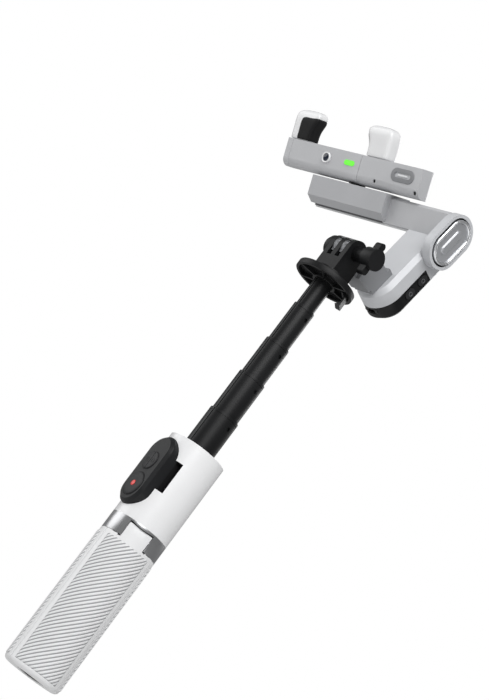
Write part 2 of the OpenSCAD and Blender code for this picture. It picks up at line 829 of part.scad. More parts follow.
module bar_body() {
  color([0.76, 0.76, 0.77]) in_head() difference() {
    bar_piece(bar_x + end_cap_len, split_x - 0.15);
    bar_piece(bar_x + end_cap_len + 8, split_x - 4, bar_wall);
    rods(rod_d / 2, rod_root, big);
    y_rod(3.3, -big, bar_front + 1.4, lens_x, mark_z);
    lamp_shape(bar_front - 1, bar_front + 1);
  }
}

module bar_end_cap() {
  color([0.74, 0.74, 0.75]) in_head() difference() {
    bar_piece(bar_x, bar_x + end_cap_len - 0.15);
    rods(rod_d / 2 + 0.5, bar_x + 3, big);
  }
  color([0.74, 0.74, 0.75]) in_head() bar_piece(bar_x + end_cap_len - 0.15, bar_x + end_cap_len, 1);
}

module guide_rods() {
  color([0.7, 0.7, 0.72]) in_head() rods(rod_d / 2, rod_root, rod_tip);
}

// What a rounded upright corner at the right rear takes off
module corner_cut(x, y, r) {
  difference() {
    span([x, y, bar_z - 1], [x + r + 1, y + r + 1, bar_z + bar_h + 1]);
    translate([x, y, bar_z - 2]) cylinder(h = bar_h + 4, r = r, $fn = fine);
  }
}

module carriage() {
  color([0.78, 0.78, 0.79]) in_head() difference() {
    bar_piece(split_x + 0.15, bar_end);
    corner_cut(bar_end - back_round, bar_front + bar_depth - back_round, back_round);
    bar_piece(split_x + 12, bar_end - 6, bar_wall);
    rods(rod_d / 2 + fit, split_x - 1, bar_end - 6);
    for (p = screw_spots) y_rod(1.1, -big, bar_front + 2.6, p[0], p[1]);
    port_outline(bar_front - 1, bar_front + 0.8);
  }
}

screw_spots = [[split_x + 14.5, bar_z + 3.9], [bar_end - 2.4, bar_z + 2.8]];
port_x = bar_end - 14.5;
port_z = bar_z + 10.4;
port_half = 9;
port_r = 3.9;

module port_outline(y0, y1) {
  for (s = [-1, 1]) y_rod(port_r, y0, y1, port_x + s * (port_half - port_r), port_z);
  span([port_x - port_half + port_r, y0, port_z - port_r], [port_x + port_half - port_r, y1, port_z + port_r]);
}

module port_cover() {
  color([0.55, 0.55, 0.56]) in_head() difference() {
    port_outline(bar_front - 0.15, bar_front + 0.8);
    span([port_x - 4.6, -big, port_z - port_r - 1], [port_x + 4.6, bar_front + 0.2, port_z - 0.9]);
  }
  color([0.9, 0.9, 0.9]) in_head()
    span([port_x - 4.2, bar_front - 0.1, port_z - 2], [port_x + 4.2, bar_front + 0.5, port_z - 0.9]);
}

module bar_screws() {
  color([0.1, 0.1, 0.1]) in_head() for (p = screw_spots) y_rod(1.1, bar_front + 1, bar_front + 2.6, p[0], p[1]);
}

module lamp_shape(y0, y1) {
  for (s = [-1, 1]) y_rod(1.5, y0, y1, lamp_x + s * 2.6, mark_z);
  span([lamp_x - 2.6, y0, mark_z - 1.5], [lamp_x + 2.6, y1, mark_z + 1.5]);
}

module status_lamp() {
  color([0.3, 0.8, 0.1]) in_head() lamp_shape(bar_front - 0.4, bar_front + 1);
}

module lens_bezel() {
  color([0.9, 0.9, 0.9]) in_head() difference() {
    y_rod(3.3, bar_front - 1.1, bar_front + 1.4, lens_x, mark_z);
    y_rod(2.2, -big, bar_front + 0.6, lens_x, mark_z);
  }
}

module lens() {
  color([0.05, 0.08, 0.12]) in_head() y_rod(2.2, bar_front - 0.7, bar_front + 0.6, lens_x, mark_z);
}

// Side view of a jaw: straight outside, rounded top that overhangs the mouth
module jaw_profile(grow) {
  top = jaw_h - grow;
  round_r = 7 - grow;
  inner = jaw_w - grow;
  polygon(concat(
    [[grow, 0]],
    [for (a = [180:-9:90]) [grow + round_r + round_r * cos(a), top - round_r + round_r * sin(a)]],
    [for (a = [90:-9:-30]) [inner + jaw_hook - 3 + 3 * cos(a), top - 3 + 3 * sin(a)]],
    [for (t = [0.25:0.25:1]) [inner + (jaw_hook - 0.4) * (1 - t) * (1 - t), (top - 6) * (1 - t)]]));
}

module jaw_block(grow, y0, y1) {
  rotate([90, 0, 0]) translate([0, 0, -y1]) linear_extrude(y1 - y0) jaw_profile(grow);
}

// The right jaw is the left one's mirror image
module as_left() {
  translate([bar_x, 0, jaw_z]) children();
}

module as_right() {
  translate([split_x + 1 + jaw_w, 0, jaw_z]) mirror([1, 0, 0]) children();
}

// Shell left of the pad, and the pad on its inner side
module jaw_shell() {
  difference() {
    jaw_block(0, bar_front + 0.4, jaw_back);
    translate([pad_t, 0, 0]) difference() {
      span([jaw_w - pad_t - 2.2, bar_front + 1.6, -1], [big, jaw_back + 1, jaw_h - 2.2]);
      translate([-2 * pad_t, 0, 0]) jaw_block(0, -big, big);
    }
  }
}

module jaw_pad() {
  intersection() {
    jaw_block(0, bar_front + 1.6, jaw_back);
    translate([pad_t, 0, 0]) difference() {
      span([jaw_w - pad_t - 2.2, bar_front + 1.6, 0.2], [big, jaw_back, jaw_h - 2.2]);
      translate([-2 * pad_t, 0, 0]) jaw_block(0, -big, big);
    }
  }
}

module left_jaw() {
  color([0.95, 0.95, 0.95]) in_head() as_left() jaw_shell();
}

module left_pad() {
  color([0.04, 0.04, 0.04]) in_head() as_left() jaw_pad();
}

module right_jaw() {
  color([0.95, 0.95, 0.95]) in_head() as_right() jaw_shell();
}

module right_pad() {
  color([0.04, 0.04, 0.04]) in_head() as_right() jaw_pad();
}

inner_sleeve();
handle_body();
collar();
leg(0);  // leg_1
leg(1);  // leg_2
leg(2);  // leg_3
leg_pins();
foot_pad(0);  // foot_pad_1
foot_pad(1);  // foot_pad_2
foot_pad(2);  // foot_pad_3
remote_case();
remote_board();
remote_cell();
shutter_button();
half_button(-1);  // left_button
half_button(1);  // right_button
tube(1);  // tube_1
tube(2);  // tube_2
tube(3);  // tube_3
tube(4);  // tube_4
tube(5);  // tube_5
mount_disc();
prong_mount();
disc_latch();
bolt_nut();
clamp_bolt();
thumb_knob();
prong_foot();
base_top_shell();
base_lower_shell();
base_battery();
base_board();
charge_port();
base_button(button_zs[0]);  // button_a
base_button(button_zs[1]);  // button_b
motor_pod();
pod_backing();
chrome_ring();
pod_dish();
tilt_stator();
tilt_shaft();
arm_bar();
arm_strip();
block_shell();
block_cover();
pan_motor();
pan_hub();
bar_body();
bar_end_cap();
guide_rods();
left_jaw();
left_pad();
lens_bezel();
lens();
status_lamp();
carriage();
right_jaw();
right_pad();
port_cover();
bar_screws();
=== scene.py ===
import bpy, bmesh, math
from mathutils import Matrix, Vector


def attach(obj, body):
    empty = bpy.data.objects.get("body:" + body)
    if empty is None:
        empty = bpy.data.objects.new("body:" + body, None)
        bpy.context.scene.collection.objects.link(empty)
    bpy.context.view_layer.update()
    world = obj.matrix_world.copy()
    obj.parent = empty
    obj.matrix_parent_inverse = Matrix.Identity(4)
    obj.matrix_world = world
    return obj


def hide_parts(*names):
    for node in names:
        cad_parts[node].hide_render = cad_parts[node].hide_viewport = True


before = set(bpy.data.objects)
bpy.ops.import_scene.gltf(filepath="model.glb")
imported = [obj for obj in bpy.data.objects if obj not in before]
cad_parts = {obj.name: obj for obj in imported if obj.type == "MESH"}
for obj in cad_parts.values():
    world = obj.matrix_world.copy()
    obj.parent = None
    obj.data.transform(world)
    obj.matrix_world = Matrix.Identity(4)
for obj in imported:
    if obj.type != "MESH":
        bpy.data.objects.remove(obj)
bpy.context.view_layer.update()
mm = 0.001
print("stage: frame loaded")

# camera and light; angles in degrees, places in metres
viewSettings = {
    "place": (0.716, -0.6415, -0.0572),
    "turn": (108.54, -35.528, 37.843),
    "lens": 97.77,
    "floorDrop": 0.5,
    "nearest": 0.05,
    "farthest": 20,
    "worldTint": (1.0, 1.0, 1.0),
    "worldStrength": 0.26,
    "paperStrength": 1.0,
}
# place and size in metres, power in watts; all of them aim at the middle of the object
lightSettings = {
    "keyLight": {"place": (0.9, -0.9, 1.1), "size": 1.5, "power": 24},
    "fillLight": {"place": (-1.2, -0.9, 0.5), "size": 1.2, "power": 7},
    "rimLight": {"place": (-0.2, 1.2, 0.9), "size": 0.9, "power": 6},
    "lowLight": {"place": (0.9, 0.1, -0.35), "size": 0.8, "power": 1.2},
}
objectMiddle = (0, 0.02, 0.2)


def makeCamera():
    data = bpy.data.cameras.new("mainCamera")
    data.lens = viewSettings["lens"]
    data.clip_start, data.clip_end = viewSettings["nearest"], viewSettings["farthest"]
    cam = bpy.data.objects.new("mainCamera", data)
    bpy.context.scene.collection.objects.link(cam)
    cam.location = viewSettings["place"]
    cam.rotation_euler = [math.radians(a) for a in viewSettings["turn"]]
    bpy.context.scene.camera = cam


def areaLight(name, place, size, power):
    data = bpy.data.lights.new(name, "AREA")
    data.shape, data.size, data.energy = "DISK", size, power
    lamp = bpy.data.objects.new(name, data)
    bpy.context.scene.collection.objects.link(lamp)
    lamp.location = place
    lamp.rotation_euler = (Vector(objectMiddle) - Vector(place)).to_track_quat("-Z", "Y").to_euler()


makeCamera()
for name, values in lightSettings.items():
    areaLight(name, **values)
print("stage: camera and lights")


# white paper all round, which lights the object less than it shows
def makeWorld():
    world = bpy.data.worlds.new("studio")
    world.use_nodes = True
    tree = world.node_tree
    glow = tree.nodes["Background"]
    glow.inputs["Color"].default_value = (*viewSettings["worldTint"], 1)
    glow.inputs["Strength"].default_value = viewSettings["worldStrength"]
    paper = tree.nodes.new("ShaderNodeBackground")
    paper.inputs["Color"].default_value = (1, 1, 1, 1)
    paper.inputs["Strength"].default_value = viewSettings["paperStrength"]
    seen = tree.nodes.new("ShaderNodeLightPath")
    pick = tree.nodes.new("ShaderNodeMixShader")
    tree.links.new(seen.outputs["Is Camera Ray"], pick.inputs["Fac"])
    tree.links.new(glow.outputs["Background"], pick.inputs[1])
    tree.links.new(paper.outputs["Background"], pick.inputs[2])
    tree.links.new(pick.outputs["Shader"], tree.nodes["World Output"].inputs["Surface"])
    bpy.context.scene.world = world


makeWorld()
bpy.context.scene.view_settings.view_transform = "Standard"


# tint is the base colour, shift how far broad clouds lighten and darken it, rough the roughness from
# and to, grain the noise scale; gloss is the specular level and 0.5 is plain plastic
finishes = {
    "whiteGloss": dict(tint=(0.8, 0.803, 0.81), shift=0.015, rough=(0.26, 0.28), grain=6000,
                       bump=0.0, coat=0.25),
    "legSatin": dict(tint=(0.76, 0.763, 0.77), shift=0.02, rough=(0.36, 0.48), grain=1500, bump=0.05),
    # the grey of the rib grooves is painted shade
    "grooveShadeGrey": dict(tint=(0.33, 0.335, 0.345), shift=0.04, rough=(0.5, 0.62), grain=1500, bump=0.05),
    "collarMetal": dict(tint=(0.5, 0.505, 0.515), shift=0.06, rough=(0.26, 0.32), grain=700, bump=0.03,
                        metal=1.0, brushed=True),
    "plainSteel": dict(tint=(0.6, 0.6, 0.62), shift=0.04, rough=(0.2, 0.34), grain=900, bump=0.02, metal=1.0),
    "sleeveMetal": dict(tint=(0.5, 0.51, 0.53), shift=0.04, rough=(0.35, 0.5), grain=900,
                        bump=0.03, metal=1.0),
    "blackRubber": dict(tint=(0.008, 0.008, 0.0085), shift=0.3, rough=(0.62, 0.8), grain=2600,
                        bump=0.12, gloss=0.25),
    "charcoal": dict(tint=(0.009, 0.0095, 0.0105), shift=0.2, rough=(0.4, 0.46), grain=6000,
                     bump=0.05, gloss=0.25),
    "charcoalSoft": dict(tint=(0.019, 0.0195, 0.021), shift=0.15, rough=(0.44, 0.5), grain=6000,
                         bump=0.05, gloss=0.25),
    "tubeBlack": dict(tint=(0.008, 0.0083, 0.009), shift=0.2, rough=(0.37, 0.4), grain=6000,
                      bump=0.0, gloss=0.25),
    "mountBlack": dict(tint=(0.006, 0.0062, 0.0068), shift=0.25, rough=(0.42, 0.48), grain=6000,
                       bump=0.07, gloss=0.25),
    "silverGrey": dict(tint=(0.56, 0.57, 0.59), shift=0.03, rough=(0.42, 0.48), grain=6000,
                       bump=0.05, metal=0.1),
    "footGrey": dict(tint=(0.2, 0.205, 0.215), shift=0.06, rough=(0.38, 0.5), grain=2200, bump=0.05),
    "shellBlack": dict(tint=(0.006, 0.0062, 0.007), shift=0.2, rough=(0.34, 0.38), grain=6000,
                       bump=0.03, gloss=0.25),
    "chromeTrim": dict(tint=(0.82, 0.83, 0.85), shift=0.02, rough=(0.26, 0.28), grain=5000,
                       bump=0.0, metal=1.0),
    "dishSatin": dict(tint=(0.5, 0.51, 0.53), shift=0.03, rough=(0.4, 0.44), grain=5000, bump=0.0,
                      metal=0.7, brushed=True),
    "copperWire": dict(tint=(0.6, 0.3, 0.14), shift=0.15, rough=(0.3, 0.45), grain=2500, bump=0.2, metal=1.0),
    "armGrey": dict(tint=(0.5, 0.505, 0.52), shift=0.03, rough=(0.4, 0.46), grain=6000, bump=0.05, metal=0.1),
    "blockGrey": dict(tint=(0.43, 0.435, 0.45), shift=0.03, rough=(0.42, 0.48), grain=6000,
                      bump=0.05, metal=0.1),
    "stripPale": dict(tint=(0.72, 0.725, 0.735), shift=0.02, rough=(0.35, 0.45), grain=1500, bump=0.03),
    # dark grey: the real dark rings on the base's side keys, and painted shade on the block's underside cover
    "darkMarkAndShade": dict(tint=(0.09, 0.092, 0.098), shift=0.1, rough=(0.45, 0.58), grain=1800, bump=0.05),
    "coverGrey": dict(tint=(0.22, 0.225, 0.235), shift=0.05, rough=(0.4, 0.5), grain=1800, bump=0.04),
    # black of the real jaw pads, also painted shade in the key grooves and the finger notch
    "padAndShadeBlack": dict(tint=(0.004, 0.004, 0.0045), shift=0.3, rough=(0.5, 0.66), grain=2400,
                     bump=0.1, gloss=0.25),
    "boardGreen": dict(tint=(0.02, 0.13, 0.05), shift=0.2, rough=(0.35, 0.5), grain=600, bump=0.08),
    "batteryBlue": dict(tint=(0.04, 0.12, 0.35), shift=0.05, rough=(0.25, 0.35), grain=500, bump=0.02),
    "lensDark": dict(tint=(0.006, 0.012, 0.03), shift=0.4, rough=(0.03, 0.08), grain=400, bump=0.0,
                     coat=0.3, gloss=0.4),
    "lampGreen": dict(tint=(0.13, 0.75, 0.04), shift=0.05, rough=(0.15, 0.25), grain=800, bump=0.01,
                      coat=0.5, glow=0.5),
    "dotRed": dict(tint=(0.72, 0.02, 0.015), shift=0.05, rough=(0.25, 0.35), grain=800, bump=0.01, coat=0.3),
}
grainSettings = {
    "band": (0.3, 0.7),  # the part of the noise that is used
    "broad": 45, "broadDetail": 2, "fineDetail": 3,
    "streak": 0.06,  # how far a brushed finish is drawn out along z
    "bumpDeep": 0.0004, "coatRough": 0.12,
}


def makeFinish(name, tint, shift, rough, grain, bump,
               metal=0.0, coat=0.0, brushed=False, glow=0.0, gloss=0.5):
    g = grainSettings
    mat = bpy.data.materials.new(name)
    mat.use_nodes = True
    tree = mat.node_tree
    shader = tree.nodes["Principled BSDF"]
    place = tree.nodes.new("ShaderNodeTexCoord")
    grid = tree.nodes.new("ShaderNodeMapping")
    if brushed:
        grid.inputs["Scale"].default_value = (1, 1, g["streak"])
    tree.links.new(place.outputs["Object"], grid.inputs["Vector"])
    fine = tree.nodes.new("ShaderNodeTexNoise")
    fine.inputs["Scale"].default_value = grain
    fine.inputs["Detail"].default_value = g["fineDetail"]
    broad = tree.nodes.new("ShaderNodeTexNoise")
    broad.inputs["Scale"].default_value = g["broad"]
    broad.inputs["Detail"].default_value = g["broadDetail"]
    tree.links.new(grid.outputs["Vector"], fine.inputs["Vector"])
    tree.links.new(place.outputs["Object"], broad.inputs["Vector"])
    ramp = tree.nodes.new("ShaderNodeValToRGB")
    for stop, spot, change in zip(ramp.color_ramp.elements, g["band"], (-shift, shift)):
        stop.position = spot
        stop.color = (*[min(1, c * (1 + change)) for c in tint], 1)
    tree.links.new(broad.outputs["Fac"], ramp.inputs["Fac"])
    tree.links.new(ramp.outputs["Color"], shader.inputs["Base Color"])
    spread = tree.nodes.new("ShaderNodeMapRange")
    for end, start, target in zip(("Min", "Max"), g["band"], rough):
        spread.inputs["From " + end].default_value = start
        spread.inputs["To " + end].default_value = target
    tree.links.new(fine.outputs["Fac"], spread.inputs["Value"])
    tree.links.new(spread.outputs["Result"], shader.inputs["Roughness"])
    if bump:
        rise = tree.nodes.new("ShaderNodeBump")
        rise.inputs["Strength"].default_value = bump
        rise.inputs["Distance"].default_value = g["bumpDeep"]
        tree.links.new(fine.outputs["Fac"], rise.inputs["Height"])
        tree.links.new(rise.outputs["Normal"], shader.inputs["Normal"])
    shader.inputs["Metallic"].default_value = metal
    shader.inputs["Specular IOR Level"].default_value = gloss
    shader.inputs["Coat Weight"].default_value = coat
    shader.inputs["Coat Roughness"].default_value = g["coatRough"]
    if glow:
        shader.inputs["Emission Color"].default_value = (*tint, 1)
        shader.inputs["Emission Strength"].default_value = glow
    return mat


shades = {name: makeFinish(name, **values) for name, values in finishes.items()}

nodeShades = {
    "inner_sleeve": "sleeveMetal", "handle_body": "whiteGloss", "collar": "collarMetal",
    "leg_pins": "plainSteel", "leg_1": "legSatin", "leg_2": "legSatin", "leg_3": "legSatin",
    "foot_pad_1": "blackRubber", "foot_pad_2": "blackRubber", "foot_pad_3": "blackRubber",
    "remote_case": "charcoal", "remote_board": "boardGreen", "remote_cell": "plainSteel",
    "shutter_button": "charcoalSoft", "left_button": "charcoalSoft", "right_button": "charcoalSoft",
    "tube_1": "tubeBlack", "tube_2": "tubeBlack", "tube_3": "tubeBlack", "tube_4": "tubeBlack",
    "tube_5": "tubeBlack", "mount_disc": "mountBlack", "prong_mount": "mountBlack",
    "disc_latch": "mountBlack", "bolt_nut": "mountBlack",
    "clamp_bolt": "plainSteel", "thumb_knob": "mountBlack", "prong_foot": "footGrey",
    "base_top_shell": "silverGrey", "base_lower_shell": "shellBlack", "base_battery": "batteryBlue",
    "base_board": "boardGreen", "charge_port": "shellBlack", "button_a": "charcoalSoft",
    "button_b": "charcoalSoft", "motor_pod": "silverGrey", "pod_backing": "mountBlack",
    "chrome_ring": "chromeTrim", "pod_dish": "dishSatin",
    "tilt_stator": "copperWire", "tilt_shaft": "plainSteel", "arm_bar": "armGrey", "arm_strip": "stripPale",
    # the block cover's dark grey is painted shade for the block's underside
    "block_shell": "blockGrey", "block_cover": "darkMarkAndShade", "pan_motor": "copperWire",
    "pan_hub": "mountBlack", "bar_body": "armGrey", "bar_end_cap": "armGrey",
    "guide_rods": "plainSteel", "left_jaw": "whiteGloss", "left_pad": "padAndShadeBlack",
    "lens_bezel": "whiteGloss", "lens": "lensDark", "status_lamp": "lampGreen", "carriage": "armGrey",
    "right_jaw": "whiteGloss", "right_pad": "padAndShadeBlack", "port_cover": "coverGrey",
    "bar_screws": "mountBlack",
}
for name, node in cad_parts.items():
    node.data.materials.clear()
    node.data.materials.append(shades[nodeShades[name]])
print("stage: finishes on", len(nodeShades), "CAD nodes")

# edge radius in mm for the moulded and machined CAD nodes
softEdges = {
    "collar": 0.2, "leg_1": 0.25, "leg_2": 0.25, "leg_3": 0.25,
    "remote_case": 0.7, "mount_disc": 0.35, "bolt_nut": 0.6, "thumb_knob": 0.7,
    "prong_foot": 0.3, "base_top_shell": 0.5, "base_lower_shell": 0.4, "button_a": 0.4, "button_b": 0.4,
    "motor_pod": 0.6, "arm_bar": 0.4, "block_shell": 0.6, "bar_body": 0.3, "bar_end_cap": 0.5,
    "carriage": 0.4, "status_lamp": 0.25,
}
edgeSettings = {"join": 0.000002, "segments": 3, "angle": 32}  # join in metres, angle in degrees


def softenNode(node, width):
    weld = node.modifiers.new("join", "WELD")
    weld.merge_threshold = edgeSettings["join"]
    edge = node.modifiers.new("edge", "BEVEL")
    edge.width = width * mm
    edge.segments = edgeSettings["segments"]
    edge.limit_method = "ANGLE"
    edge.angle_limit = math.radians(edgeSettings["angle"])
    edge.use_clamp_overlap = True


for name, width in softEdges.items():
    softenNode(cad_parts[name], width)
print("stage: edges softened on", len(softEdges), "nodes")


# puts a finished mesh in the scene, on its body and in place of the nodes it stands for
def keepMesh(bm, name, body, shadeNames, smooth=True, replaced=()):
    mesh = bpy.data.meshes.new(name)
    bm.to_mesh(mesh)
    bm.free()
    for shade in shadeNames:
        mesh.materials.append(shades[shade])
    if smooth:
        mesh.polygons.foreach_set("use_smooth", [True] * len(mesh.polygons))
    piece = bpy.data.objects.new(name, mesh)
    bpy.context.scene.collection.objects.link(piece)
    if replaced:
        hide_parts(*replaced)
    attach(piece, body)
    return piece


def addSubdivision(piece, level):
    mod = piece.modifiers.new("round", "SUBSURF")
    mod.levels = mod.render_levels = level


# ribbed panels on the folding legs, with grey painted shade in the grooves, in mm and degrees
ribSettings = {
    "legs": {"leg_a": 52, "leg_b": 172, "leg_c": -68},  # where each leg faces, from the front
    "radius": 16.5, "lift": 0.04, "proud": 0.38, "sink": 0.35, "wide": 96, "low": 2.6, "high": 79.2,
    "pitch": 2.55, "rowsPerRib": 8, "columns": 26,
    "grooveHalf": 0.1, "shoulderHalf": 0.26, "shadeHalf": 0.17,  # shares of a rib, from the groove's middle; the last is the band painted grey as shade
    "rimFade": 0.5,
}


def ribHeight(phase):
    # narrow groove with rounded shoulders, phase runs 0 to 1 over one rib
    low, high = ribSettings["grooveHalf"], ribSettings["shoulderHalf"]
    share = (min(phase, 1 - phase) - low) / (high - low)
    return 0.5 - 0.5 * math.cos(math.pi * min(1, max(0, share)))


def makeRibPanel(body, facing, number):
    r = ribSettings
    width = math.radians(r["wide"]) * r["radius"]
    tall = r["high"] - r["low"]
    reach = tall + width
    rows = int(reach / r["pitch"] * r["rowsPerRib"])
    bm = bmesh.new()
    bmesh.ops.create_grid(bm, x_segments=r["columns"], y_segments=rows, size=0.5)
    step = r["pitch"]
    for v in bm.verts:
        across, along = v.co.x * width, v.co.y * rows * step / r["rowsPerRib"]
        v.co = (across, along + across, along)  # 45 degree slant; the rib's own measure is kept in z
    for low, side in ((-tall / 2, -1), (tall / 2, 1)):
        geom = bm.verts[:] + bm.edges[:] + bm.faces[:]
        bmesh.ops.bisect_plane(bm, geom=geom, plane_co=(0, low, 0), plane_no=(0, side, 0), clear_outer=True)
    # faces near a groove's middle get the grey finish: painted shade
    for f in bm.faces:
        phase = (f.calc_center_median().z / step) % 1
        f.material_index = 1 if min(phase, 1 - phase) < r["shadeHalf"] else 0
    for v in bm.verts:
        phase = (v.co.z / step) % 1
        rim = min(width / 2 - abs(v.co.x), tall / 2 - abs(v.co.y))
        lift = r["proud"] * min(1, max(0, rim / r["rimFade"])) * ribHeight(phase)
        angle = math.radians(facing) + v.co.x / r["radius"]
        radius = (r["radius"] + r["lift"] + lift) * mm
        height = (v.co.y + tall / 2 + r["low"]) * mm
        v.co = (radius * math.sin(angle), -radius * math.cos(angle), height)
    bmesh.ops.recalc_face_normals(bm, faces=bm.faces)
    middleFace = min(bm.faces, key=lambda f: f.calc_center_median().length)
    outward = Vector((middleFace.calc_center_median().x, middleFace.calc_center_median().y, 0))
    if middleFace.normal.dot(outward) < 0:
        bmesh.ops.reverse_faces(bm, faces=bm.faces)
    panel = keepMesh(bm, "ribPanel" + str(number), body, ["legSatin", "grooveShadeGrey"])
    wall = panel.modifiers.new("wall", "SOLIDIFY")
    wall.thickness, wall.offset = r["sink"] * mm, -1


for number, (body, facing) in enumerate(ribSettings["legs"].items(), 1):
    makeRibPanel(body, facing, number)
print("stage: ribbed panels")


# round and slot-shaped forms: profile is (radius, height) pairs in mm, stretch the length between the
# round ends
def turnedForm(profile, stretch=0.0, around=64, fill=True):
    bm = bmesh.new()
    last = len(profile) - 1
    bmesh.ops.create_grid(bm, x_segments=around, y_segments=last, size=0.5)
    for v in bm.verts:
        turn = (v.co.x + 0.5) * 2 * math.pi + math.pi / around
        radius, height = profile[round((v.co.y + 0.5) * last)]
        shift = math.copysign(stretch / 2, math.sin(turn))
        v.co = (radius * math.cos(turn), radius * math.sin(turn) + shift, height)
    bmesh.ops.remove_doubles(bm, verts=bm.verts, dist=0.001)
    if fill:
        bmesh.ops.holes_fill(bm, edges=bm.edges, sides=0)
    bmesh.ops.recalc_face_normals(bm, faces=bm.faces)
    return bm


def keepTurned(bm, name, body, shade, place, replaced=(), sharp=35):
    bmesh.ops.scale(bm, verts=bm.verts, vec=(mm, mm, mm))
    bmesh.ops.transform(bm, matrix=place, verts=bm.verts)
    piece = keepMesh(bm, name, body, [shade], replaced=replaced)
    piece.data.set_sharp_from_angle(angle=math.radians(sharp))
    return piece


# the three leaning frames of the part, in metres
headFrame = Matrix.Translation((0, 0.042, 0.3289)) @ Matrix.Rotation(math.radians(28), 4, "X")
baseFrame = Matrix.Translation((0, 0.042, 0.3289)) @ Matrix.Rotation(math.radians(-9.5), 4, "X")
remoteFrame = Matrix.Rotation(math.radians(-12), 4, "Z")
faceFront = Matrix.Rotation(math.radians(90), 4, "X")  # a form's axis to -Y, its stretch to Z
faceRight = Matrix.Rotation(math.radians(90), 4, "Z") @ faceFront  # its axis to +X, its stretch to Z


def arc(centreRadius, centreHeight, radius, start, end, steps=6):
    # points of a rounded corner, angles in degrees from the outward direction
    turns = [math.radians(start + (end - start) * k / steps) for k in range(steps + 1)]
    return [(centreRadius + radius * math.cos(t), centreHeight + radius * math.sin(t)) for t in turns]


# chrome cap of the tilt motor, in mm in the base's frame; dishSteps are (radius, height over the dish)
capSettings = {
    "middle": -6.1, "stretch": 12.2, "seat": 17.2, "top": 19.4, "dish": 18.3, "around": 96,
    "ringOuter": 8.7, "ringInner": 6.9, "ringFoot": 0.4, "slack": 0.02, "dishFoot": 0.1,
    "dishSteps": [(6.2, 0.1), (5.2, -0.1), (3.6, -0.35), (2.6, -0.35), (2.3, -0.2), (2.05, 0.35)],
    "barRadius": 1.7, "barRise": 0.3, "barCorner": 0.35, "barTop": [(0.8, 0.68), (0.05, 0.7)],
}


def makeCap():
    c = capSettings
    place = baseFrame @ Matrix.Translation((0, 0, c["middle"] * mm)) @ faceRight
    outer, inner, seat = c["ringOuter"], c["ringInner"], c["seat"]
    half = (outer - inner) / 2
    ring = [(outer, seat)] + arc(outer - half, c["top"] - half, half, 0, 180, 12)
    ring += [(inner, c["dish"] - c["ringFoot"]), (inner, seat), (outer, seat)]
    bm = turnedForm(ring, c["stretch"], c["around"], fill=False)
    keepTurned(bm, "chromeRing", "base", "chromeTrim", place, ["chrome_ring"])
    dish = [(inner - c["slack"], seat + c["dishFoot"]), (inner - c["slack"], c["dish"])]
    dish += [(radius, c["dish"] + rise) for radius, rise in c["dishSteps"]]
    dish += arc(c["barRadius"], c["dish"] + c["barRise"], c["barCorner"], 0, 90, 4)
    dish += [(radius, c["dish"] + rise) for radius, rise in c["barTop"]]
    bm = turnedForm(dish, c["stretch"], c["around"])
    keepTurned(bm, "capDish", "base", "dishSatin", place, ["pod_dish"], sharp=50)


makeCap()
print("stage: chrome cap")


# keys of the remote, in mm in the remote's frame; crown is (share of the radius, height over the face)
remoteSettings = {
    "face": 18.9, "keyFoot": -2.1, "middle": (0.05, 0.55),
    "shutterAt": 107.3, "shutterRadius": 6.8, "shutterCorner": (0.5, 0.05, 75),
    "shutterCrown": [(0.75, 0.72), (0.45, 0.62)],
    "splitAt": 121.9, "splitRadius": 5.15, "splitCorner": (0.4, 0.1, 80),
    "splitCrown": [(0.6, 0.52), (0.3, 0.54)], "splitHalfGap": 0.2,
    "dotFoot": (1.6, 0.4), "dotCorner": (1.3, 0.52, 0.3), "dotTop": [(0.6, 0.86), (0.05, 0.88)],
    # the groove rings are black sheets of painted shade in the gaps round the keys
    "grooveGap": 0.04, "grooveWide": 0.42, "grooveLow": -0.5, "grooveHigh": 0.1,
    "markAt": 2.6, "markInner": 0.95, "markOuter": 1.25, "markLow": 0.4, "markHigh": 0.62,
    "barMark": 0.9,  # length of the left mark, which is a slot where the right one is a ring
}


def keyForm(rad, corner, crown):
    r = remoteSettings
    roundness, height, end = corner
    profile = [(rad, r["keyFoot"])] + arc(rad - roundness, height, roundness, 0, end, 5)
    profile += [(rad * share, rise) for share, rise in crown] + [r["middle"]]
    return turnedForm(profile, 0, 72)


def boxRing(inner, outer, low, high):
    # section of a plain square ring, closed on itself
    return [(inner, low), (inner, high), (outer, high), (outer, low), (inner, low)]


# black ring in the gap round a key, painted shade for the groove's depth
def keepGrooveShade(name, rad, place):
    r = remoteSettings
    section = boxRing(rad + r["grooveGap"], rad + r["grooveWide"], r["grooveLow"], r["grooveHigh"])
    keepTurned(turnedForm(section, 0, 72, fill=False), name, "remote", "padAndShadeBlack", place)


